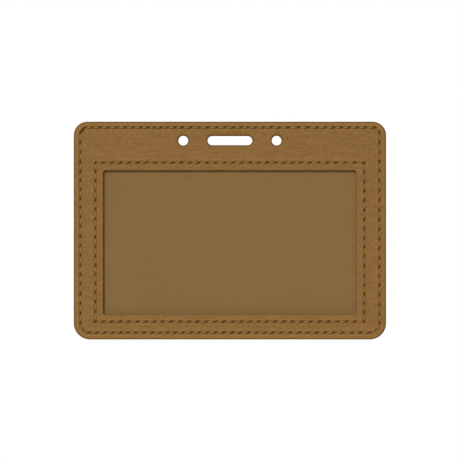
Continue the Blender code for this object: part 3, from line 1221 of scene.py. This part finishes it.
@dataclass
class WindowLayers:
    """What the window shows: the clear film, and the lining behind it."""

    plan: HolderPlan
    film_radius: float = 1.5 * MM
    film_wave: float = 0.02 * MM
    film_wavelength: float = 60 * MM
    lining_wave: float = 0.05 * MM
    lining_wavelength: float = 34 * MM
    overrun: float = 1 * MM

    def build_film(self) -> None:
        """Build and dress the film."""
        low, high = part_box("window_film")
        outline = Outline.centred(high.x, low.z, high.z, self.film_radius)
        sheet = Sheet("window_film", outline, self.film_wave, self.film_wavelength, low.y, high.y - low.y)
        dress(sheet.build([]), ClearFilm().build(), "clear_film", "window_film")

    def lining_tools(self) -> list[Piece]:
        """Return a cutting tool for the card entry and for each punched opening."""
        tools = []
        for number, outline in enumerate((self.plan.entry, *self.plan.punches)):
            skin = RingSkin(PUNCH_STATIONS)
            skin.add(outline, -self.overrun)
            skin.add(outline, 2 * self.overrun)
            tools.append(new_piece(f"lining_punch_{number}", skin.cap()))
        return tools

    def build_lining(self) -> None:
        low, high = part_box("rear_lining")
        rim, entry = self.plan.rim, self.plan.entry
        sheet = Sheet("rear_lining", rim, self.lining_wave, self.lining_wavelength, low.y, high.y - low.y)
        lining = dress(sheet.build(self.lining_tools()), WovenLining().build(), "lining", "rear_lining")


@dataclass(frozen=True)
class Lamp:
    """A square soft lamp in front of the holder. A like one stands behind it, turned half round."""

    name: str
    place: tuple[float, float, float]
    size: float
    power: float


@dataclass
class Studio:
    """A pale floor below the hanging holder, soft lamps and a camera square to the window."""

    lens: float = 400.0
    sensor: float = 36.0
    view_width: float = 159.0 * MM
    view_centre_x: float = 0.02 * MM
    view_centre_z: float = -30.93 * MM
    floor_below: float = 90.0 * MM
    floor_size: float = 1.6
    floor_sides: int = 96
    floor_tint: str = "#F6F6F4"
    floor_roughness: float = 0.9
    floor_fade_shares: tuple[float, float] = (1 / 5, 1 / 2.1)
    ambient: float = 0.08
    clip_reach: float = 100
    lamps: tuple[Lamp, ...] = (
        Lamp("key", (-0.78, -3.3, 0.85), 0.75, 76.7),
        Lamp("fill", (0.4, -3.3, 0.45), 0.5, 16.4),
    )

    def camera(self, front: float) -> None:
        """Add the camera.

        Args:
            front: The Y of the holder's front face, where the view is as wide as the photo shows.
        """
        data = bpy.data.cameras.new("camera")
        data.lens = self.lens
        data.sensor_width = self.sensor
        distance = self.view_width * self.lens / self.sensor
        data.clip_start = distance / self.clip_reach
        data.clip_end = distance * self.clip_reach
        camera = add_object("camera", data)
        camera.location = (self.view_centre_x, front - distance, self.view_centre_z)
        camera.rotation_euler = (QUARTER_TURN, 0, 0)
        bpy.context.scene.camera = camera

    def light(self, lamp: Lamp, side_name: str, side: float) -> None:
        """Add a lamp that looks at the middle of the holder, from in front of it or from behind it."""
        data = bpy.data.lights.new(f"{side_name}_{lamp.name}_lamp", "AREA")
        data.size = lamp.size
        data.energy = lamp.power
        x, y, z = lamp.place
        place = Vector((x * side, y * side, z))
        item = add_object(data.name, data)
        item.location = Vector((self.view_centre_x, 0, self.view_centre_z)) + place
        item.rotation_euler = (-place).to_track_quat("-Z", "Y").to_euler()

    def surroundings(self) -> None:
        """Make the surroundings plain white to the eye and an even soft light to the holder."""
        world = bpy.data.worlds.new("surroundings")
        world.use_nodes = True
        bpy.context.scene.world = world
        tree = world.node_tree
        ray = add_node(tree, "LightPath")
        seen = ray["Is Camera Ray"]
        for kind in ("Is Glossy Ray", "Is Transmission Ray"):
            seen = add_node(tree, "Math", {0: seen, 1: ray[kind]}, operation="MAXIMUM")["Value"]
        level = add_node(tree, "MapRange", {"Value": seen, "To Min": self.ambient, "To Max": 1.0})
        fill(tree.nodes["Background"], {"Strength": level["Result"], "Color": linear("#FFFFFF")})

    def floor(self, lowest: float) -> None:
        """Add the floor, which fades out towards its edge.

        Args:
            lowest: The Z of the holder's bottom edge.
        """
        shape = bmesh.new()
        radius = self.floor_size / 2
        bmesh.ops.create_circle(shape, cap_ends=True, segments=self.floor_sides, radius=radius)
        bmesh.ops.translate(shape, verts=shape.verts, vec=(0, 0, lowest - self.floor_below))
        floor = new_piece("floor", shape)
        material, tree, shader = new_finish("paper_sweep_white")
        fill(shader, {"Base Color": linear(self.floor_tint), "Roughness": self.floor_roughness})
        place = add_node(tree, "TexCoord")["Object"]
        level = add_node(tree, "VectorMath", {0: place, 1: (1.0, 1.0, 0.0)}, operation="MULTIPLY")
        away = add_node(tree, "VectorMath", {0: level["Vector"]}, operation="LENGTH")["Value"]
        near, far = (self.floor_size * share for share in self.floor_fade_shares)
        fade = add_node(tree, "MapRange", {"Value": away, "From Min": near, "From Max": far})["Result"]
        see_through(shader, fade, "#FFFFFF")
        floor.data.materials.append(material)
        floor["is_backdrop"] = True

    def build(self, low: Vector) -> None:
        """Set the whole stage.

        Args:
            low: The lowest corner of the holder's box.
        """
        self.camera(low.y)
        self.surroundings()
        for side_name, side in (("front", 1.0), ("rear", -1.0)):
            for lamp in self.lamps:
                self.light(lamp, side_name, side)
        self.floor(low.z)
        bpy.context.scene.view_settings.view_transform = "Standard"


def build_boards(frame: dict) -> None:
    """Give the frame's own boards their pressed-fibre finish."""
    material = StiffBoard().build()
    for name in ("front_board", "pocket_frame", "rear_board"):
        board = frame["nodes"][name]
        board.data.materials.clear()
        board.data.materials.append(material)
        log.info("%s: the frame's own solid", name)


def main() -> None:
    logging.basicConfig(level=logging.INFO, format="%(name)s: %(message)s")
    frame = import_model()
    solid_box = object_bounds()
    plan = HolderPlan()
    Studio().build(solid_box[0])
    leatherette = Leatherette().build()
    seams = (plan.outer_seam, plan.window_seam)
    Cover(plan, "front_cover", Facing.FRONT, plan.window, seams).build(leatherette)
    Cover(plan, "rear_cover", Facing.REAR, plan.entry, (plan.outer_seam,)).build(leatherette)
    thread = SewingThread().build()
    Thread(plan.outer_seam, "outer_seam_front_thread", Facing.FRONT).build(thread)
    Thread(plan.outer_seam, "outer_seam_rear_thread", Facing.REAR).build(thread)
    Thread(plan.window_seam, "window_seam_front_thread", Facing.FRONT).build(thread)
    Thread(plan.window_seam, "window_seam_rear_thread", Facing.REAR, dive=0.1 * MM).build(thread)
    layers = WindowLayers(plan)
    layers.build_film()
    layers.build_lining()
    build_boards(frame)


if __name__ == "__main__":
    main()
